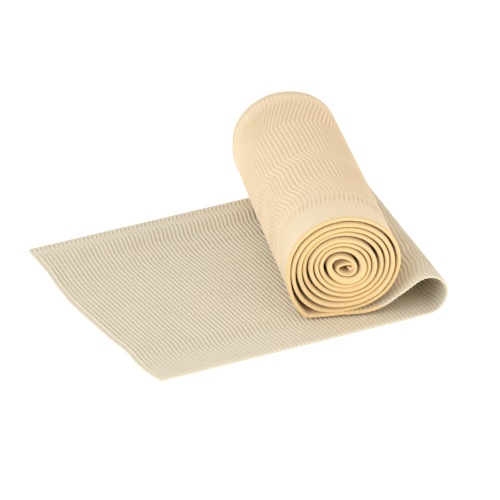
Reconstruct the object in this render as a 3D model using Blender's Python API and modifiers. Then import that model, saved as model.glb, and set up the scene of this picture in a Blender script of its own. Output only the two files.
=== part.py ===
"""A cotton crepe bandage, partly unrolled and lying on a table.

The bandage is one woven strip. Its free end lies flat, the strip runs on under the roll, turns back
over itself in a loose open loop, and comes back as a second layer, which then winds into the roll.
It is built as two solids, the laid strip with its loop and the wound roll, whose ends face each other
in the second layer, hidden under the roll.
Metres, +Z up. +X runs along the laid strip from its free end towards the loop and +Y runs across it.
The origin is on the strip's underside, where the roll's axis crosses the middle of its width.
"""

from math import cos, hypot, pi, radians, sin

import bmesh
import bpy
from mathutils import Vector

# The cloth
STRIP_WIDTH = 0.1000
WOUND_WIDTH = 0.0985
CLOTH = 0.0013
LAYER_GAP = 0.0004

# The laid length, from the roll's axis to the free end
LAID_NEAR = 0.0813
LAID_FAR = 0.0787
END_BOW = 0.0036

# The roll
WOUND_TURNS = 7.0
CORE_HALF_WIDTH = 0.0060
CORE_HALF_HEIGHT = 0.0049
CORE_GAP = 0.0007
CORE_LEAN = radians(28)
CORE_TURNS = 1.7
CORE_SHIFT = 0.0005
CORE_OPENS_OVER = 0.5
LEAN_START = 0.2
SIDE_SLACK = 0.00008
ROLL_SETBACK = 0.0092
ROLL_TURN = radians(17.6)
FAR_END_SLIMMER = 0.0007
EDGE_WANDER = 0.0004
WANDER_RATE = 2.4

# The corner where the outermost turn leaves the layer under the roll
CORNER_ANGLE = radians(229.5)
CORNER_REACH = 0.0033
CORNER_START = radians(183)
CORNER_ROUND = 0.0020
CORNER_SHARPNESS = 1.25

# The loop where the strip turns back, at its near and far edges
LOOP_OUT_NEAR = 0.0136
LOOP_OUT_FAR = 0.0024
LOOP_RADIUS_NEAR = 0.0061
LOOP_RADIUS_FAR = 0.0041
LOOP_SLOPE = radians(36)
SETTLE_NEAR = 0.018
SETTLE_FAR = 0.012

# How much of the turn from the strip's direction to the roll's is made by the top of the loop and by its slope
TURNED_AT_TOP = 0.8
TURNED_AT_SLOPE = 0.9

# Where the two solids face each other under the roll, across from its axis
JOIN_SIDE = 0.0
JOIN_GAP = 0.0003

# How finely the strip is divided
ACROSS = 5
LAID_STEPS = 4
LOOP_STEPS = 14
SETTLE_STEPS = 4
UNDER_STEPS = 2
TURN_STEPS = 24

CLOTH_COLOUR = (0.86, 0.74, 0.56, 1.0)
SHARP_EDGE = radians(50)

PITCH = CLOTH + LAYER_GAP
FLOOR_LAYER = CLOTH / 2
UNDER_LAYER = FLOOR_LAYER + PITCH
ROLL_HALF_WIDTH = CORE_HALF_WIDTH + WOUND_TURNS * (PITCH + SIDE_SLACK)
ROLL_HALF_HEIGHT = CORE_HALF_HEIGHT + WOUND_TURNS * PITCH
ROLL_HEIGHT = UNDER_LAYER + ROLL_HALF_HEIGHT
CORNER_TURN = (radians(270) - CORNER_ANGLE) / (2 * pi)

# The roll's own directions on the table: out of its side, and along its axis away from the near edge
SIDE = Vector((cos(ROLL_TURN), -sin(ROLL_TURN), 0))
AXIS = Vector((sin(ROLL_TURN), cos(ROLL_TURN), 0))
UP = Vector((0, 0, 1))
ROLL_MIDDLE = (ROLL_SETBACK - STRIP_WIDTH / 2) / cos(ROLL_TURN) + WOUND_WIDTH / 2


def smooth(t):
    t = min(max(t, 0.0), 1.0)
    return t * t * (3 - 2 * t)


def between(near, far, share):
    return near + (far - near) * share


def ring(turn):
    """The half sizes, lean and centre of the winding, that many turns in from the layer under the roll."""
    inward = turn / WOUND_TURNS
    half_width = between(ROLL_HALF_WIDTH, CORE_HALF_WIDTH, inward)
    half_height = between(ROLL_HALF_HEIGHT, CORE_HALF_HEIGHT, inward)
    gap = CORE_GAP * smooth((turn - WOUND_TURNS) / CORE_OPENS_OVER + 0.5)
    lean = -CORE_LEAN * smooth((inward - LEAN_START) / (1 - LEAN_START))
    centre = (-CORE_SHIFT * inward, ROLL_HEIGHT - CORE_SHIFT * inward)
    return half_width - gap, half_height - gap, lean, centre


def wound(turn):
    """The winding's place in the roll's end view: across the roll, and up from the table."""
    half_width, half_height, lean, (middle, height) = ring(turn)
    angle = radians(270) - 2 * pi * turn
    leaning = angle - lean
    reach = half_width * half_height / hypot(half_height * cos(leaning), half_width * sin(leaning))
    if angle > CORNER_START:
        reach += CORNER_REACH * ((angle - CORNER_START) / (CORNER_ANGLE - CORNER_START)) ** CORNER_SHARPNESS
    return middle + reach * cos(angle), height + reach * sin(angle)


def on_roll(across, up, share):
    """A place on the roll, which is wound a little tighter towards its far end and rests on its under layer."""
    along = ROLL_MIDDLE + (share - 0.5) * WOUND_WIDTH
    tight = 1 - share * FAR_END_SLIMMER / ROLL_HALF_HEIGHT
    return SIDE * (across * tight) + AXIS * along + UP * (UNDER_LAYER + (up - UNDER_LAYER) * tight)


def on_laid_strip(x, up, share):
    return Vector((x, (share - 0.5) * STRIP_WIDTH, up))


def loop_profile(radius, settle):
    """The loop's outline from the table up and back to the second layer, with how far it has turned."""
    points = [(0.0, FLOOR_LAYER, 0.0)]
    whole = pi + LOOP_SLOPE
    for i in range(1, LOOP_STEPS + 1):
        angle = whole * i / LOOP_STEPS
        points.append((radius * sin(angle), FLOOR_LAYER + radius * (1 - cos(angle)), TURNED_AT_TOP * i / LOOP_STEPS))
    out, up, _ = points[-1]
    fall = settle * (1 - cos(LOOP_SLOPE))
    straight = max(0.0, up - UNDER_LAYER - fall) / sin(LOOP_SLOPE)
    settle = (up - UNDER_LAYER - straight * sin(LOOP_SLOPE)) / (1 - cos(LOOP_SLOPE))
    out -= straight * cos(LOOP_SLOPE)
    up -= straight * sin(LOOP_SLOPE)
    points.append((out, up, TURNED_AT_SLOPE))
    for i in range(1, SETTLE_STEPS + 1):
        slope = LOOP_SLOPE * (1 - i / SETTLE_STEPS)
        back = settle * (sin(LOOP_SLOPE) - sin(slope))
        down = settle * (cos(slope) - cos(LOOP_SLOPE))
        points.append((out - back, up - down, between(TURNED_AT_SLOPE, 1.0, i / SETTLE_STEPS)))
    return points


def laid_line(share):
    """The middle surface from the free end round the loop to the join, at a share of the width."""
    bow = END_BOW * (1 - (2 * share - 1) ** 2)
    end = -between(LAID_NEAR, LAID_FAR, share) - bow
    radius = between(LOOP_RADIUS_NEAR, LOOP_RADIUS_FAR, share)
    fold_side = ROLL_HALF_WIDTH + CLOTH / 2 + between(LOOP_OUT_NEAR, LOOP_OUT_FAR, share)
    fold_x = (fold_side + sin(ROLL_TURN) * (share - 0.5) * STRIP_WIDTH) / cos(ROLL_TURN)

    line = []
    for i in range(LAID_STEPS):
        line.append(on_laid_strip(between(end, fold_x - radius, i / LAID_STEPS), FLOOR_LAYER, share))
    for out, up, turned in loop_profile(radius, between(SETTLE_NEAR, SETTLE_FAR, share)):
        laid = on_laid_strip(fold_x - radius + out, up, share)
        rolled = on_roll(fold_side - radius + out, up, share)
        line.append(laid.lerp(rolled, smooth(turned)))
    line.append(on_roll(JOIN_SIDE + JOIN_GAP / 2, UNDER_LAYER, share))
    return line


def wound_line(share):
    """The middle surface from the join to the inner end of the winding, at a share of the width."""
    corner, _ = wound(CORNER_TURN)
    line = []
    for i in range(UNDER_STEPS + 1):
        across = between(JOIN_SIDE - JOIN_GAP / 2, corner + CORNER_ROUND, i / UNDER_STEPS)
        line.append(on_roll(across, UNDER_LAYER, share))
    steps = round((WOUND_TURNS + CORE_TURNS - CORNER_TURN) * TURN_STEPS)
    for i in range(steps + 1):
        turn = CORNER_TURN + i / TURN_STEPS
        across, up = wound(turn)
        wander = EDGE_WANDER * sin(WANDER_RATE * turn)
        line.append(on_roll(across, up, share) + AXIS * wander)
    return line


def crepe_material():
    material = bpy.data.materials.new("crepe_cloth")
    material.use_nodes = True
    shader = material.node_tree.nodes["Principled BSDF"]
    shader.inputs["Base Color"].default_value = CLOTH_COLOUR
    shader.inputs["Roughness"].default_value = 0.95
    shader.inputs["Metallic"].default_value = 0.0
    return material


def cloth(name, line_at, material, collection):
    """A grid laid along the cloth's lines and given the cloth's thickness."""
    lines = [line_at(i / ACROSS) for i in range(ACROSS + 1)]
    stations = len(lines[0])
    mesh = bpy.data.meshes.new(name)
    cage = bmesh.new()
    bmesh.ops.create_grid(cage, x_segments=stations - 1, y_segments=ACROSS, size=0.5)
    for vertex in cage.verts:
        station = round((vertex.co.x + 0.5) * (stations - 1))
        column = round((vertex.co.y + 0.5) * ACROSS)
        vertex.co = lines[column][station]
    cage.to_mesh(mesh)
    cage.free()
    piece = bpy.data.objects.new(name, mesh)
    collection.objects.link(piece)
    mesh.materials.append(material)
    wall = piece.modifiers.new("cloth thickness", "SOLIDIFY")
    wall.thickness = CLOTH
    wall.offset = 0
    wall.use_even_offset = True
    mesh.shade_smooth()
    mesh.set_sharp_from_angle(angle=SHARP_EDGE)
    return piece


for old in list(bpy.data.objects):
    bpy.data.objects.remove(old)
bandage = bpy.data.collections.new("cotton bandage")
bpy.context.scene.collection.children.link(bandage)
crepe = crepe_material()
cloth("laid_strip", laid_line, crepe, bandage)
cloth("wound_roll", wound_line, crepe, bandage)
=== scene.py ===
"""A cotton crepe bandage, partly unrolled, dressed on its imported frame.

The free length, the loose loop and the roll are one woven strip. It is made here as three sheets
of crinkled cloth that meet where the roll hides it. Metres, in the CAD's own frame.
"""

from math import cos, pi, radians, sin

import bpy
import numpy as np
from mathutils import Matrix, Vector


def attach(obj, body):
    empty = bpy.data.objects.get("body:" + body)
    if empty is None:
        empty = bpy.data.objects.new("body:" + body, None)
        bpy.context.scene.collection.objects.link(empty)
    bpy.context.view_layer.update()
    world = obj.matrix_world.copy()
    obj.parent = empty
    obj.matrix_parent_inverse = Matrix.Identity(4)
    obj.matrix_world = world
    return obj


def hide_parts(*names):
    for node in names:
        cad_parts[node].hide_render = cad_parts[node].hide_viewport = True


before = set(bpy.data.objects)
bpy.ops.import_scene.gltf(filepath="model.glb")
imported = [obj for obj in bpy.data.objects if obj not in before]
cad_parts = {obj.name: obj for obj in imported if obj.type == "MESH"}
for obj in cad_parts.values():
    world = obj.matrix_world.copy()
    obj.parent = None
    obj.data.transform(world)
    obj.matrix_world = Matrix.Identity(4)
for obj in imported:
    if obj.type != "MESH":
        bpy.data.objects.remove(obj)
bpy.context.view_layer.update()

# The strip's path, with the same names as in the CAD source, and its sizes but for a longer core
STRIP_WIDTH = 0.1000
WOUND_WIDTH = 0.0985
CLOTH = 0.0013
LAYER_GAP = 0.0004
WOUND_TURNS = 7.0
CORE_HALF_WIDTH = 0.0060
CORE_HALF_HEIGHT = 0.0049
CORE_GAP = 0.0007
CORE_LEAN = radians(28)
CORE_TURNS = 2.14
CORE_SHIFT = 0.0005
CORE_OPENS_OVER = 0.5
LEAN_START = 0.2
SIDE_SLACK = 0.00008
ROLL_SETBACK = 0.0092
ROLL_TURN = radians(17.6)
FAR_END_SLIMMER = 0.0007
EDGE_WANDER = 0.0004
WANDER_RATE = 2.4
CORNER_ANGLE = radians(229.5)
CORNER_REACH = 0.0033
CORNER_START = radians(183)
CORNER_ROUND = 0.0020
CORNER_SHARPNESS = 1.25
LOOP_OUT_NEAR = 0.0136
LOOP_OUT_FAR = 0.0024
LOOP_RADIUS_NEAR = 0.0061
LOOP_RADIUS_FAR = 0.0041
LOOP_SLOPE = radians(36)
SETTLE_NEAR = 0.018
SETTLE_FAR = 0.012
TURNED_AT_TOP = 0.8
TURNED_AT_SLOPE = 0.9

PITCH = CLOTH + LAYER_GAP
FLOOR_LAYER = CLOTH / 2
UNDER_LAYER = FLOOR_LAYER + PITCH
ROLL_HALF_WIDTH = CORE_HALF_WIDTH + WOUND_TURNS * (PITCH + SIDE_SLACK)
ROLL_HALF_HEIGHT = CORE_HALF_HEIGHT + WOUND_TURNS * PITCH
ROLL_HEIGHT = UNDER_LAYER + ROLL_HALF_HEIGHT
CORNER_TURN = (radians(270) - CORNER_ANGLE) / (2 * pi)
SIDE = np.array([cos(ROLL_TURN), -sin(ROLL_TURN), 0])
AXIS = np.array([sin(ROLL_TURN), cos(ROLL_TURN), 0])
UP = np.array([0, 0, 1.0])
ROLL_MIDDLE = (ROLL_SETBACK - STRIP_WIDTH / 2) / cos(ROLL_TURN) + WOUND_WIDTH / 2

MM = 0.001

# Places across the cloth are in hundredths of its width from the near edge, which are about millimetres

# The free end: place across, and how far out the end lies, in millimetres
FREE_END = [
    (0, -82.6), (2, -83.2), (5, -83.7), (8, -84.0), (15, -84.0), (20, -83.4), (25, -83.3), (32, -83.8),
    (50, -83.9), (60, -83.8), (70, -82.7), (77, -81.6), (83, -80.6), (90, -80.0), (97, -79.4), (100, -79.0),
]
FREE_END_MIDDLE = -83.9

# The crinkle ribs' lean: place across, and how far along the strip they have moved, in millimetres
LAID_LEAN = [
    (0, -0.3), (5, -0.5), (8.5, -1.0), (12, -1.4), (15.7, -0.8), (19.3, 0.0), (34, -0.1), (44.5, 0.35),
    (62, 0.0), (69.7, -0.25), (73.3, 0.1), (77, 1.0), (80.5, 1.5), (84, 2.3), (87.7, 3.8), (91.3, 5.1),
    (95, 5.6), (98.5, 6.9), (100, 7.0),
]
ROLL_LEAN = [
    (0, -0.3), (14, -0.3), (19, 0.6), (25, 0.2), (32, -2.1), (46, -2.6), (52, -4.8), (76, -5.6), (92, 0.0),
    (100, 0.2),
]

# The ribs' height: place across, and height, in millimetres
LAID_RELIEF = [
    (0, 0.10), (1.0, 0.12), (6, 0.15), (11, 0.22), (16, 0.27), (84, 0.28), (93, 0.25), (94.3, 0.06),
    (96.4, 0.06), (97.1, 0.24), (98.2, 0.24), (98.8, 0.05), (100, 0.06),
]
ROLL_RELIEF = [
    (0, 0.02), (13, 0.04), (14.5, 0.24), (18, 0.24), (19.2, 0.08), (22, 0.22), (30, 0.26), (90, 0.26),
    (94.5, 0.12), (96.0, 0.05), (97.0, 0.16), (98.2, 0.16), (99, 0.04), (100, 0.04),
]
FULL_RELIEF = 0.26

# How the turns inside the corner follow it: which turn, and how far it bulges, in millimetres
CORNER_FOLLOWERS = [(1, 1.7), (2, 0.8), (3, 0.3)]
CORNER_SPREAD = 0.62

# The turns lie a little closer and looser by threes, between two depths of the winding
PAIRING = 0.00013
PAIRING_TURNS = 3
PAIRING_FROM = 0.7
PAIRING_UNTIL = 5.8

# The hook at the roll's core: turn, across, up and cloth thickness in millimetres
CORE_HOOK = [
    (7.92, 0.4, -2.65, 1.25), (8.08, -1.6, -2.2, 1.3), (8.2, -2.7, -1.0, 1.6), (8.32, -2.3, 0.1, 2.2),
    (8.45, -1.2, 0.5, 2.2), (8.6, 0.5, 0.95, 1.4), (8.74, 1.9, 0.75, 1.2), (8.87, 2.65, -0.1, 1.1),
    (8.98, 2.1, -0.95, 1.0), (9.08, 1.2, -0.9, 1.0), (9.14, 0.95, -0.5, 0.9),
]

# The outer wrap ends past one turn, where the inner turns begin
WRAP_TURNS = 1.12
CORNER_FILLET = 0.012

# How finely the paths and tables are followed
TABLE_STEPS = 800
TABLE_SOFTENING = 8
LOOP_POINTS = 120
SLOPE_POINTS = 12
SETTLE_POINTS = 40
FLOOR_POINTS = 200
UNDER_POINTS = 30
FLAT_POINTS = 40
FILLET_POINTS = 30
POINTS_IN_A_TURN = 500
TANGENT_STEP = 0.001

# The crinkle
RIB = 0.00145
ROWS_PER_RIB = 4
INNER_ROW = 0.0009
RIB_UNEVENNESS = 0.22
LAID_SWAY = 0.0005
ROLL_SWAY = 0.0006
SERRATION = 0.00012
FLAT_END_ROWS = 3

# The leans grow over a first stretch of the laid length and fade over the last share of each sheet
LEAN_GROWS_OVER = 0.040
LEAN_GROWTH = 0.7
WRAP_LEAN_GROWS = 0.10
LEAN_FADES_FROM = 0.86
LEAN_FADES_OVER = 0.14

# The cloth's thickness
LAID_THICKNESS = 0.00074
NEAR_EXTRA = 0.00022
NEAR_EXTRA_REACH = 3
GOLDEN_EXTRA = 0.0004
ROLL_THICKNESS = 0.00076
ROLL_EDGE_EXTRA = 0.00062
THICKNESS_CHANGE = 0.08
NEAR_BORDER = 13
FAR_BORDER = 6
EDGE_FULLNESS = 0.45
EDGE_ROUND = 0.8
END_FULLNESS = 0.6
END_ROUND_ROWS = 2
FIRST_WALL = 0.0007

# The laid length is let down until its ribs touch the table, as far as the loop
TABLE_CLEARANCE = 0.00003
LEVEL_TOLERANCE = 0.00005
LAID_DOWN_TO = 0.084
LAID_DOWN_FADE = 0.012

# The near edge is cut, and painted golden as shade: on the roll, and on the laid cloth from a little before
# it meets the roll's
GOLDEN_LAST = 0.016
GOLDEN_FADE = 0.008
EDGE_SHADE_DEPTH = 2.2
RAGGED = 0.00022
RAGGED_DEPTH = 2
PUCKER = 0.00010
# How much lighter the turns' rims near the edges are painted: painted light
BORDER_PAINTED_LIGHT = 0.35

# The line of stitches near the far edge: how far in, and how wide
LAID_STITCH_IN = 2.3
LAID_STITCH_WIDE = 0.55
ROLL_STITCH_IN = 2.2
ROLL_STITCH_WIDE = 0.5
ROLL_STITCH_DARK = 0.6

# How many rows and columns each kind of unevenness is blurred over
SWAY_BLUR = (60, 14)
RIB_BLUR = (6, 5)
THICKNESS_BLUR = (9, 4)
PUCKER_BLUR = (14, 6)
RAGGED_BLUR = (2, 40)

LAID_SEED = 4
WRAP_SEED = 11
INNER_SEED = 12

SMOOTH_BELOW = radians(62)


def smooth(t):
    t = np.clip(t, 0.0, 1.0)
    return t * t * (3 - 2 * t)


def between(near, far, share):
    return near + (far - near) * share


def table_at(table, place):
    """A table's value at a place, with rounded corners between its rows."""
    places, values = np.array(table).T
    fine = np.linspace(places[0], places[-1], TABLE_STEPS + 1)
    line = np.interp(fine, places, values)
    window = np.hanning(2 * TABLE_SOFTENING + 1)
    padded = np.pad(line, TABLE_SOFTENING, mode="edge")
    return np.interp(place, fine, np.convolve(padded, window / window.sum(), "valid"))


def spline(places, values, at):
    """A smooth curve through values at uneven places."""
    slopes = np.gradient(values, places)
    i = np.clip(np.searchsorted(places, at) - 1, 0, len(places) - 2)
    step = places[i + 1] - places[i]
    t = np.clip((at - places[i]) / step, 0, 1)
    rise = (2 * t ** 3 - 3 * t ** 2 + 1) * values[i] + (3 * t ** 2 - 2 * t ** 3) * values[i + 1]
    return rise + step * ((t ** 3 - 2 * t ** 2 + t) * slopes[i] + (t ** 3 - t ** 2) * slopes[i + 1])


def paired(turn):
    """How far a turn lies out of its even place, where turns sit closer and looser by threes."""
    swing = np.sin(2 * pi * (turn - 1) / PAIRING_TURNS + pi)
    return PAIRING * swing * smooth(turn - PAIRING_FROM) * (1 - smooth(turn - PAIRING_UNTIL))


def wound(turn):
    """The winding's place in the roll's end view: across the roll, and up from the table."""
    inward = turn / WOUND_TURNS
    gap = CORE_GAP * smooth((turn - WOUND_TURNS) / CORE_OPENS_OVER + 0.5)
    half_width = between(ROLL_HALF_WIDTH, CORE_HALF_WIDTH, inward) - gap
    half_height = between(ROLL_HALF_HEIGHT, CORE_HALF_HEIGHT, inward) - gap
    lean = -CORE_LEAN * smooth((inward - LEAN_START) / (1 - LEAN_START))
    angle = radians(270) - 2 * pi * turn
    leaning = angle - lean
    reach = half_width * half_height / np.hypot(half_height * np.cos(leaning), half_width * np.sin(leaning))
    past = np.clip((angle - CORNER_START) / (CORNER_ANGLE - CORNER_START), 0, None)
    reach = reach + CORNER_REACH * past ** CORNER_SHARPNESS
    for follower, bulge in CORNER_FOLLOWERS:
        to_corner = (turn - follower - CORNER_TURN) * 2 * pi / CORNER_SPREAD
        reach = reach + bulge * MM * np.exp(-to_corner ** 2)
    reach = reach + paired(turn)
    across = -CORE_SHIFT * inward + reach * np.cos(angle)
    up = ROLL_HEIGHT - CORE_SHIFT * inward + reach * np.sin(angle)
    return hooked(turn, across, up)


def hooked(turn, across, up):
    """Turns the winding's inner end into the small folded hook of the core."""
    turns, hook_across, hook_up, _ = np.array(CORE_HOOK).T
    inside = turn > turns[0]
    blend = smooth((turn - turns[0]) / (turns[1] - turns[0]))
    bent_across = spline(turns, hook_across, turn) * MM
    bent_up = ROLL_HEIGHT - CORE_SHIFT + spline(turns, hook_up, turn) * MM
    across = np.where(inside, between(across, bent_across, blend), across)
    up = np.where(inside, between(up, bent_up, blend), up)
    return across, up


def on_roll(across, up, share):
    """Points on the roll, which is wound a little tighter towards its far end."""
    along = ROLL_MIDDLE + (share - 0.5) * WOUND_WIDTH
    tight = 1 - share * FAR_END_SLIMMER / ROLL_HALF_HEIGHT
    up = UNDER_LAYER + (up - UNDER_LAYER) * tight
    return np.outer(across * tight, SIDE) + AXIS * along + np.outer(up, UP)


def on_laid_strip(x, up, share):
    x = np.asarray(x, float)
    return np.stack([x, np.full_like(x, (share - 0.5) * STRIP_WIDTH), np.broadcast_to(up, x.shape)], 1)


def laid_path(share):
    """Close points from the free end, round the loop, to the middle of the layer under the roll."""
    end = table_at(FREE_END, share * 100) * MM
    radius = between(LOOP_RADIUS_NEAR, LOOP_RADIUS_FAR, share)
    settle = between(SETTLE_NEAR, SETTLE_FAR, share)
    fold_side = ROLL_HALF_WIDTH + CLOTH / 2 + between(LOOP_OUT_NEAR, LOOP_OUT_FAR, share)
    fold_x = (fold_side + sin(ROLL_TURN) * (share - 0.5) * STRIP_WIDTH) / cos(ROLL_TURN)

    angle = np.linspace(0, pi + LOOP_SLOPE, LOOP_POINTS)
    out, up = radius * np.sin(angle), FLOOR_LAYER + radius * (1 - np.cos(angle))
    turned = TURNED_AT_TOP * np.linspace(0, 1, LOOP_POINTS)
    straight = max(0.0, up[-1] - UNDER_LAYER - settle * (1 - cos(LOOP_SLOPE))) / sin(LOOP_SLOPE)
    settle = (up[-1] - UNDER_LAYER - straight * sin(LOOP_SLOPE)) / (1 - cos(LOOP_SLOPE))
    down_slope = np.linspace(0, straight, SLOPE_POINTS)[1:]
    out = np.append(out, out[-1] - down_slope * cos(LOOP_SLOPE))
    up = np.append(up, up[-1] - down_slope * sin(LOOP_SLOPE))
    turned = np.append(turned, between(TURNED_AT_TOP, TURNED_AT_SLOPE, down_slope / max(straight, 1e-9)))
    slope = np.linspace(LOOP_SLOPE, 0, SETTLE_POINTS)[1:]
    out = np.append(out, out[-1] - settle * (sin(LOOP_SLOPE) - np.sin(slope)))
    up = np.append(up, up[-1] - settle * (np.cos(slope) - cos(LOOP_SLOPE)))
    turned = np.append(turned, between(TURNED_AT_SLOPE, 1.0, 1 - slope / LOOP_SLOPE))

    laid = on_laid_strip(fold_x - radius + out, up, share)
    rolled = on_roll(fold_side - radius + out, up, share)
    loop = laid + (rolled - laid) * smooth(turned)[:, None]
    floor = on_laid_strip(np.linspace(end, fold_x - radius, FLOOR_POINTS)[:-1], FLOOR_LAYER, share)
    under_across = np.linspace(fold_side - radius + out[-1], 0, UNDER_POINTS)[1:]
    under = on_roll(under_across, np.full(UNDER_POINTS - 1, UNDER_LAYER), share)
    return np.concatenate([floor, loop, under])


def winding_path(share, start, stop):
    """Close points along the winding between two turns. Turn 0 is the middle of the layer under the roll."""
    first = CORNER_TURN + CORNER_FILLET
    turns = np.arange(max(start, first), stop, 1 / POINTS_IN_A_TURN)
    turns = np.append(turns, stop)
    across, up = wound(turns)
    if start < first:
        corner, _ = wound(CORNER_TURN)
        step = wound(first + TANGENT_STEP)
        tangent = np.array([step[0] - across[0], step[1] - up[0]])
        meet = across[0] + (UNDER_LAYER - up[0]) * tangent[0] / tangent[1]
        flat = corner + CORNER_ROUND
        t = np.linspace(0, 1, FILLET_POINTS)[1:-1]
        fillet_across = (1 - t) ** 2 * flat + 2 * t * (1 - t) * meet + t * t * across[0]
        fillet_up = (1 - t ** 2) * UNDER_LAYER + t * t * up[0]
        line = np.linspace(0, flat, FLAT_POINTS)
        across = np.concatenate([line, fillet_across, across])
        up = np.concatenate([np.full(FLAT_POINTS, UNDER_LAYER), fillet_up, up])
        turns = np.concatenate([np.full(FLAT_POINTS + len(t), first), turns])
    return on_roll(across, up, share) + np.outer(EDGE_WANDER * np.sin(WANDER_RATE * turns), AXIS)


def along_path(path, places):
    """Points at the given lengths along a path."""
    steps = np.linalg.norm(np.diff(path, axis=0), axis=1)
    length = np.append(0, np.cumsum(steps))
    return np.stack([np.interp(places, length, path[:, i]) for i in range(3)], 1)


def path_length(path):
    return np.linalg.norm(np.diff(path, axis=0), axis=1).sum()


def normals_of(middle):
    """The middle surface's normals, one at each row and column."""
    along = np.gradient(middle, axis=0)
    across = np.gradient(middle, axis=1)
    normal = np.cross(along, across)
    return normal / np.linalg.norm(normal, axis=2, keepdims=True)


def drifting(rng, shape, blur):
    """Soft noise from -1 to 1 over rows and columns, blurred over that many of each."""
    noise = rng.standard_normal(shape)
    for axis, width in enumerate(blur):
        window = np.hanning(2 * width + 3)
        window /= window.sum()
        ends = [(width + 1, width + 1) if i == axis else (0, 0) for i in (0, 1)]
        padded = np.pad(noise, ends, mode="wrap")
        noise = np.apply_along_axis(lambda line: np.convolve(line, window, "valid"), axis, padded)
    return noise / (np.abs(noise).max() + 1e-9)


def deselect():
    bpy.ops.object.select_all(action="DESELECT")


def points_of(mesh):
    place = np.zeros(len(mesh.vertices) * 3)
    mesh.vertices.foreach_get("co", place)
    return place.reshape(-1, 3)


def sheet_of_cloth(name, middle, thickness, relief, fields, material, strip_place):
    """A grid laid on the middle surface, given its thickness, then pushed up and down into ribs.

    middle is rows x columns x 3. thickness and relief are rows x columns, in metres. fields are the
    named values kept on the points for the material. strip_place is each point's place on the strip.
    """
    rows, columns, _ = middle.shape
    deselect()
    bpy.ops.mesh.primitive_grid_add(x_subdivisions=rows - 1, y_subdivisions=columns - 1, size=1)
    piece = bpy.context.object
    piece.name = piece.data.name = name
    mesh = piece.data
    place = points_of(mesh)
    row = np.rint((place[:, 0] + 0.5) * (rows - 1)).astype(int)
    column = np.rint((place[:, 1] + 0.5) * (columns - 1)).astype(int)
    normal = normals_of(middle)
    mesh.vertices.foreach_set("co", middle[row, column].ravel())
    mesh.update()

    wall = piece.modifiers.new("cloth thickness", "SOLIDIFY")
    wall.thickness = FIRST_WALL
    wall.offset = 0
    bpy.ops.object.modifier_apply(modifier=wall.name)
    mesh = piece.data
    row, column = np.tile(row, 2), np.tile(column, 2)
    centre, out = middle[row, column], normal[row, column]
    face = np.sign(((points_of(mesh) - centre) * out).sum(1))
    place = centre + out * (face * thickness[row, column] / 2 + relief[row, column])[:, None]
    mesh.vertices.foreach_set("co", place.ravel())

    for field, values in fields.items():
        layer = mesh.attributes.new(field, "FLOAT", "POINT")
        kept = values[row, column] * (face if field == "rib" else 1)
        layer.data.foreach_set("value", kept.astype(np.float32))
    uv = mesh.uv_layers[0]
    uv.name = "strip"
    corner = np.zeros(len(mesh.loops), np.int32)
    mesh.loops.foreach_get("vertex_index", corner)
    uv.data.foreach_set("uv", strip_place[row, column][corner].ravel().astype(np.float32))
    mesh.update()
    deselect()
    piece.select_set(True)
    bpy.ops.object.shade_smooth_by_angle(angle=SMOOTH_BELOW)
    piece.data.materials.append(material)
    return piece


class Value:
    """A shader socket that takes part in sums like a number."""

    def __init__(self, graph, socket):
        self.graph = graph
        self.socket = socket

    def maths(self, operation, *values):
        return self.graph.node("ShaderNodeMath", {"operation": operation}, values)

    def __add__(self, other):
        return self.maths("ADD", self, other)

    __radd__ = __add__

    def __mul__(self, other):
        return self.maths("MULTIPLY", self, other)

    __rmul__ = __mul__

    def __sub__(self, other):
        return self.maths("SUBTRACT", self, other)

    def __rsub__(self, other):
        return self.maths("SUBTRACT", other, self)

    def sine(self):
        return self.maths("SINE", self)


class Graph:
    """A material's nodes, made one at a time."""

    def __init__(self, name):
        self.material = bpy.data.materials.new(name)
        self.material.use_nodes = True
        self.tree = self.material.node_tree
        self.shader = self.tree.nodes["Principled BSDF"]

    def plug(self, socket, value):
        if isinstance(value, Value):
            self.tree.links.new(value.socket, socket)
        else:
            socket.default_value = value

    def finish(self, **values):
        """Gives the shader's sockets their values, with spaces in their names as underscores."""
        for name, value in values.items():
            self.plug(self.shader.inputs[name.replace("_", " ")], value)
        return self.material

    def node(self, kind, settings=None, values=(), output=0):
        """Makes a node, sets it up, plugs its sockets and returns one of its outputs."""
        made = self.tree.nodes.new(kind)
        for name, setting in (settings or {}).items():
            setattr(made, name, setting)
        sockets = values.items() if isinstance(values, dict) else enumerate(values)
        for name, value in sockets:
            self.plug(made.inputs[name], value)
        return Value(self, made.outputs[output])

    def field(self, name):
        return self.node("ShaderNodeAttribute", {"attribute_name": name}, output="Fac")

    def mix(self, factor, first, second):
        settings = {"data_type": "RGBA", "blend_type": "MIX", "clamp_factor": True}
        return self.node("ShaderNodeMix", settings, {0: factor, 6: first, 7: second}, output=2)

    def step(self, value, low, high):
        settings = {"interpolation_type": "SMOOTHSTEP"}
        return self.node("ShaderNodeMapRange", settings, [value, low, high, 0.0, 1.0])

    def noise(self, place, scale, detail, roughness):
        values = {"Vector": place, "Scale": scale, "Detail": detail, "Roughness": roughness}
        return self.node("ShaderNodeTexNoise", {}, values)


# Ridge and furrow colours: the furrows' darker colour is partly the cloth's own tone and partly painted
# shade
LAID_RIDGE = (0.80, 0.70, 0.53, 1)
LAID_VALLEY_WITH_SHADE = (0.62, 0.51, 0.35, 1)
LAID_FURROW_SHADE = 0.85
# The roll's copy of the same cloth is warmer: painted warm light bounced between its turns, and painted
# shade in its furrows too
ROLL_RIDGE_WARM_GLOW = (0.88, 0.69, 0.46, 1)
ROLL_VALLEY_GLOW_AND_SHADE = (0.80, 0.58, 0.33, 1)
ROLL_FURROW_SHADE = 0.80
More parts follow.
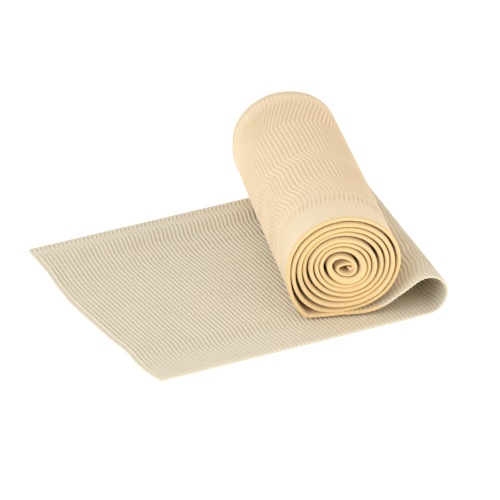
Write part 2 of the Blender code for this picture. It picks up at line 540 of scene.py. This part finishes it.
# The cut edge's gold is painted shade, for the shaded end of the roll
END_SHADE_GOLD = (0.80, 0.57, 0.27, 1)
PALE_LINT = (1.0, 0.97, 0.88, 1)
STITCH_BROWN = (0.40, 0.30, 0.16, 1)
CLOUD_DARKER = 0.90
CLOUD_LESS_BLUE = 0.84

# The weave's repeats, in strip widths, as the cloth's UV map is
WEAVE_ACROSS = 0.0062
WEAVE_ALONG = 0.0088
YARN_STRETCH = (0.35, 1.0, 1.0)
BUMP_DEPTH = 0.00028


def crepe(name, ridge, valley_with_shade, furrow):
    """Natural cotton crepe: pale ridges, furrows darker partly in their own tone and partly by painted
    shade, fine yarns and a cut edge painted golden as shade.
    """
    graph = Graph(name)
    place = graph.node("ShaderNodeTexCoord", output="Object")
    strip = graph.node("ShaderNodeUVMap", {"uv_map": "strip"})
    rib = graph.field("rib")
    edge_painted_shade = graph.field("edge_painted_shade")
    stitch = graph.field("stitch")

    # Yarns run along the strip, so their noise is drawn out that way and reads as twisted thread
    yarn_place = graph.node("ShaderNodeMapping", {}, {"Vector": strip, "Scale": YARN_STRETCH})
    yarns = graph.noise(yarn_place, scale=420.0, detail=3.0, roughness=0.6)
    lint = graph.noise(place, scale=2600.0, detail=2.0, roughness=0.6)
    cloudy = graph.noise(place, scale=55.0, detail=2.0, roughness=0.5)
    along, across = (graph.node("ShaderNodeSeparateXYZ", {}, [strip], output=i) for i in (0, 1))
    weave = (across * (2 * pi / WEAVE_ACROSS)).sine() * (along * (2 * pi / WEAVE_ALONG)).sine()

    red, green, blue, _ = ridge
    clouded = (red * CLOUD_DARKER, green * CLOUD_DARKER, blue * CLOUD_LESS_BLUE, 1)
    # The furrows are mixed towards the darker colour: partly the cloth's own tone, partly painted shade
    height = graph.step(rib + (yarns - 0.5) * 0.9, -0.95, 0.75)
    # Painted shade: the cut edge is mixed towards gold
    edge_shade_mask = graph.step(edge_painted_shade + (yarns - 0.5) * 0.5 + (lint - 0.5) * 0.3, 0.1, 0.9)
    cloth = graph.mix(height * furrow + (1 - furrow), valley_with_shade, ridge)
    cloth = graph.mix(graph.step(cloudy, 0.25, 0.75) * 0.20, cloth, clouded)
    cloth = graph.mix(graph.step(lint, 0.35, 0.75) * 0.10, cloth, PALE_LINT)
    cloth = graph.mix(stitch * 0.55, cloth, STITCH_BROWN)
    cloth = graph.mix(edge_shade_mask, cloth, END_SHADE_GOLD)
    relief = weave * 0.10 + yarns * 0.8 + lint * 0.5
    bump = graph.node("ShaderNodeBump", {}, {"Strength": 0.55, "Distance": BUMP_DEPTH, "Height": relief})
    return graph.finish(
        Normal=bump,
        Base_Color=cloth,
        Roughness=0.93 - graph.step(lint, 0.3, 0.8) * 0.05,
        Metallic=0.0,
        Specular_IOR_Level=0.25,
        Sheen_Weight=0.15,
        Sheen_Roughness=0.6,
    )


def laid_columns():
    """Where the laid cloth's columns lie, as shares of its width, close together at its edges and seams."""
    return np.concatenate([
        [0, 0.2, 0.5, 1.0, 1.8],
        np.arange(3, 16, 1.2),
        np.arange(16.5, 82, 1.45),
        np.arange(82.5, 94, 1.1),
        [94.6, 95.6, 96.3, 96.8, 97.2, 97.65, 98.1, 98.5, 99.0, 99.5, 99.8, 100],
    ]) / 100


def wrap_columns():
    return np.concatenate([
        [0, 0.12, 0.35, 0.8, 1.4, 2.2],
        np.arange(3.4, 13, 1.2),
        np.arange(13.4, 20, 0.8),
        np.arange(20.5, 93, 1.3),
        [93.5, 94.6, 95.6, 96.4, 97.0, 97.6, 98.2, 98.8, 99.3, 99.7, 99.88, 100],
    ]) / 100


def inner_columns():
    """Only the ends of the inner turns show, so their columns lie mostly there."""
    return np.array([
        0, 0.12, 0.35, 0.8, 1.5, 2.5, 4, 7, 12,
        30, 50, 70, 90, 96, 98.5, 99.4, 99.8, 100,
    ]) / 100


def rib_wave(rows, columns, rng):
    """Ridge, flank, furrow, flank, along the rows, a little uneven from rib to rib and across."""
    wave = np.cos(np.arange(rows) * 2 * pi / ROWS_PER_RIB)[:, None]
    return wave * (1 + RIB_UNEVENNESS * drifting(rng, (rows, columns), RIB_BLUR))


def edge_rounding(columns):
    """How full the cloth is near its two long edges, as a share of its thickness."""
    from_edge = np.minimum(columns, 1 - columns) * 100
    return between(EDGE_FULLNESS, 1.0, np.sqrt(np.clip(from_edge / EDGE_ROUND, 0, 1)))


def fading(part):
    """How much of the lean is left towards the end of a sheet, where it meets the next."""
    return 1 - smooth((part - LEAN_FADES_FROM) / LEAN_FADES_OVER)


def edge_shade_depth(near):
    """How strongly a place near the cut edge is painted golden shade."""
    return np.maximum(1 - near / EDGE_SHADE_DEPTH, 0.0)


def strip_places(places, columns, width):
    """Places along and across the cloth, in strip widths."""
    return np.stack([places, np.broadcast_to(columns * width, places.shape)], 2) / STRIP_WIDTH


def laid_cloth(material):
    """The free length on the table, the loose loop, and the second layer as far as the roll's middle."""
    rng = np.random.default_rng(LAID_SEED)
    columns = laid_columns()
    near, far = columns * 100, (1 - columns) * 100
    paths = [laid_path(c) for c in columns]
    lengths = np.array([path_length(p) for p in paths])
    rows = int(round(lengths.mean() / RIB)) * ROWS_PER_RIB + 1
    part = np.linspace(0, 1, rows)
    lean = (table_at(LAID_LEAN, near) - (table_at(FREE_END, near) - FREE_END_MIDDLE)) * MM
    places = part[:, None] * lengths
    taken = np.clip(places / LEAN_GROWS_OVER, 0, 1) ** LEAN_GROWTH * fading(part[:, None])
    sway = LAID_SWAY * drifting(rng, (rows, len(columns)), SWAY_BLUR) * taken
    places = np.clip(places + lean * taken + sway, 0, lengths)
    middle = np.stack([along_path(p, places[:, j]) for j, p in enumerate(paths)], 1)

    wave = rib_wave(rows, len(columns), rng)
    rising = smooth(part * rows / FLAT_END_ROWS)[:, None]
    relief = wave * table_at(LAID_RELIEF, near) * MM
    relief *= rising
    middle[:, 0, 1] -= SERRATION * wave[:, 0]
    # The last stretch before the roll: its near edge is painted golden shade and made a little thicker
    golden = smooth((places - lengths + GOLDEN_LAST) / GOLDEN_FADE)
    near_extra = NEAR_EXTRA * np.exp(-near / NEAR_EXTRA_REACH)
    golden_extra = GOLDEN_EXTRA * golden * (1 - smooth(near / NEAR_BORDER))
    end_rounding = between(END_FULLNESS, 1.0, np.clip(np.arange(rows) / END_ROUND_ROWS, 0, 1))
    thickness = (LAID_THICKNESS + near_extra + golden_extra) * edge_rounding(columns) * end_rounding[:, None]

    floats = FLOOR_LAYER - thickness / 2 - np.abs(table_at(LAID_RELIEF, near) * MM) * rising
    on_table = middle[:, :, 2] < FLOOR_LAYER + LEVEL_TOLERANCE
    let_down = np.where(on_table, floats - TABLE_CLEARANCE, 0)
    middle[:, :, 2] -= let_down * (1 - smooth((places - LAID_DOWN_TO) / LAID_DOWN_FADE))
    dots = np.exp(-((far - LAID_STITCH_IN) / LAID_STITCH_WIDE) ** 2)
    # rib darkens the furrows in the material: partly the cloth's own tone, partly painted shade
    fields = {
        "rib": wave * np.clip(table_at(LAID_RELIEF, near) / FULL_RELIEF, 0, 1),
        "edge_painted_shade": golden * edge_shade_depth(near),
        "stitch": np.clip(-wave, 0, 1) * dots,
    }
    flat_places = strip_places(places, columns, STRIP_WIDTH)
    cloth = sheet_of_cloth("crepe_laid_length", middle, thickness, relief, fields, material, flat_places)
    return cloth, lengths.mean()


def hook_thickness(turns):
    """How much thicker the cloth is where it folds on itself at the core."""
    hook = np.array(CORE_HOOK)
    return np.interp(turns, hook[:, 0], hook[:, 3] / hook[0, 3])


def roll_cloth(name, start, stop, columns, ribbed, material, seed, row_length):
    """A stretch of the winding between two turns."""
    rng = np.random.default_rng(seed)
    near, far = columns * 100, (1 - columns) * 100
    paths = [winding_path(c, start, stop) for c in columns]
    lengths = np.array([path_length(p) for p in paths])
    rows = int(round(lengths.mean() / row_length / ROWS_PER_RIB)) * ROWS_PER_RIB + 1
    part = np.linspace(0, 1, rows)
    places = part[:, None] * lengths
    if ribbed:
        held = smooth(part / WRAP_LEAN_GROWS) * fading(part)
        sway = ROLL_SWAY * drifting(rng, (rows, len(columns)), SWAY_BLUR)
        places = places + (table_at(ROLL_LEAN, near) * MM + sway) * held[:, None]
    middle = np.stack([along_path(p, places[:, j]) for j, p in enumerate(paths)], 1)

    wave = rib_wave(rows, len(columns), rng) * (1.0 if ribbed else 0.0)
    border = np.maximum(1 - smooth(near / NEAR_BORDER), 1 - smooth(far / FAR_BORDER))
    turns = between(start, stop, places[:, 0] / places[-1, 0])
    thickness = (ROLL_THICKNESS + ROLL_EDGE_EXTRA * border) * edge_rounding(columns)
    thickness = thickness * hook_thickness(turns)[:, None]
    thickness = thickness * (1 + THICKNESS_CHANGE * drifting(rng, wave.shape, THICKNESS_BLUR))
    pucker = PUCKER * drifting(rng, wave.shape, PUCKER_BLUR) * border
    relief = wave * table_at(ROLL_RELIEF, near) * MM + pucker
    ragged = RAGGED * drifting(rng, wave.shape, RAGGED_BLUR) * (1 - smooth(near / RAGGED_DEPTH))
    middle = middle + ragged[:, :, None] * AXIS
    row_line = np.exp(-((far - ROLL_STITCH_IN) / ROLL_STITCH_WIDE) ** 2)
    # The rib value is raised near both edges, which paints the rims lighter: painted light
    fields = {
        "rib": wave * np.clip(table_at(ROLL_RELIEF, near) / FULL_RELIEF, 0, 1) + BORDER_PAINTED_LIGHT * border,
        "edge_painted_shade": np.broadcast_to(edge_shade_depth(near), wave.shape),
        "stitch": np.broadcast_to(ROLL_STITCH_DARK * row_line, wave.shape),
    }
    flat_places = strip_places(places, columns, WOUND_WIDTH)
    cloth = sheet_of_cloth(name, middle, thickness, relief, fields, material, flat_places)
    return cloth, lengths.mean()


def declare(piece, node):
    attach(piece, "root")
    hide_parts(node)


# Two copies of one cloth: the roll's copy is painted warmer for the light bounced between its turns
laid_crepe = crepe("laid crepe", LAID_RIDGE, LAID_VALLEY_WITH_SHADE, LAID_FURROW_SHADE)
roll_crepe_warm_glow = crepe("roll crepe painted warm glow", ROLL_RIDGE_WARM_GLOW, ROLL_VALLEY_GLOW_AND_SHADE, ROLL_FURROW_SHADE)

laid, laid_length = laid_cloth(laid_crepe)
wrap, wrap_length = roll_cloth(
    "crepe_outer_wrap", 0.0, WRAP_TURNS, wrap_columns(), True, roll_crepe_warm_glow, WRAP_SEED, RIB / ROWS_PER_RIB
)
core_end = WOUND_TURNS + CORE_TURNS
inner, inner_length = roll_cloth(
    "crepe_inner_turns", WRAP_TURNS, core_end, inner_columns(), False, roll_crepe_warm_glow, INNER_SEED, INNER_ROW
)
declare(laid, "laid_strip")
declare(wrap, "wound_roll")
declare(inner, "wound_roll")

WHITE = (1.0, 1.0, 1.0, 1)
TABLE_WHITE = (0.92, 0.92, 0.92, 1)
TABLE_SIZE = 6
TABLE_GLOW = 0.45
SKY_STRENGTH = 0.85
WINDOW_BLUE = (0.72, 0.87, 1.0)
WARM_FILL = (1.0, 0.95, 0.88)


def table_top():
    deselect()
    bpy.ops.mesh.primitive_plane_add(size=TABLE_SIZE, location=(0, 0, 0))
    top = bpy.context.object
    top.name = "table_top"
    graph = Graph("white table")
    white = graph.finish(
        Base_Color=TABLE_WHITE, Roughness=0.9, Emission_Color=WHITE, Emission_Strength=TABLE_GLOW
    )
    top.data.materials.append(white)


def soft_light(name, place, target, size, power, colour):
    """A rectangular lamp at a place, turned towards its target."""
    light = bpy.data.lights.new(name, "AREA")
    light.shape = "RECTANGLE"
    light.size, light.size_y = size
    light.energy = power
    light.color = colour
    lamp = bpy.data.objects.new(name, light)
    bpy.context.collection.objects.link(lamp)
    lamp.location = place
    lamp.rotation_euler = (Vector(target) - Vector(place)).to_track_quat("-Z", "Y").to_euler()


def studio():
    world = bpy.data.worlds.new("studio")
    world.use_nodes = True
    sky = world.node_tree.nodes["Background"]
    sky.inputs["Color"].default_value = WHITE
    sky.inputs["Strength"].default_value = SKY_STRENGTH
    bpy.context.scene.world = world
    soft_light("window", (-1.0, -0.25, 0.55), (0, 0, 0.01), (0.6, 0.6), 4.5, WINDOW_BLUE)
    soft_light("front fill", (0.35, -1.1, 0.35), (0, 0, 0.02), (0.6, 0.5), 3.0, WARM_FILL)
    bpy.context.scene.view_settings.view_transform = "Standard"


CAMERA_AZIMUTH = radians(-28.22)
CAMERA_ELEVATION = radians(26.56)
CAMERA_DISTANCE = 1.7184
CAMERA_TARGET = Vector((-0.03008, -0.00956, 0.015))
CAMERA_LENS = 392.9
CAMERA_SENSOR = 36
CAMERA_CLIP = (0.05, 20)


def camera():
    lens = bpy.data.cameras.new("camera")
    lens.lens = CAMERA_LENS
    lens.sensor_width = CAMERA_SENSOR
    lens.clip_start, lens.clip_end = CAMERA_CLIP
    eye = bpy.data.objects.new("camera", lens)
    bpy.context.collection.objects.link(eye)
    back = Vector((
        sin(CAMERA_AZIMUTH) * cos(CAMERA_ELEVATION),
        -cos(CAMERA_AZIMUTH) * cos(CAMERA_ELEVATION),
        sin(CAMERA_ELEVATION),
    ))
    eye.location = CAMERA_TARGET + back * CAMERA_DISTANCE
    eye.rotation_euler = back.to_track_quat("Z", "Y").to_euler()
    bpy.context.scene.camera = eye


table_top()
studio()
camera()
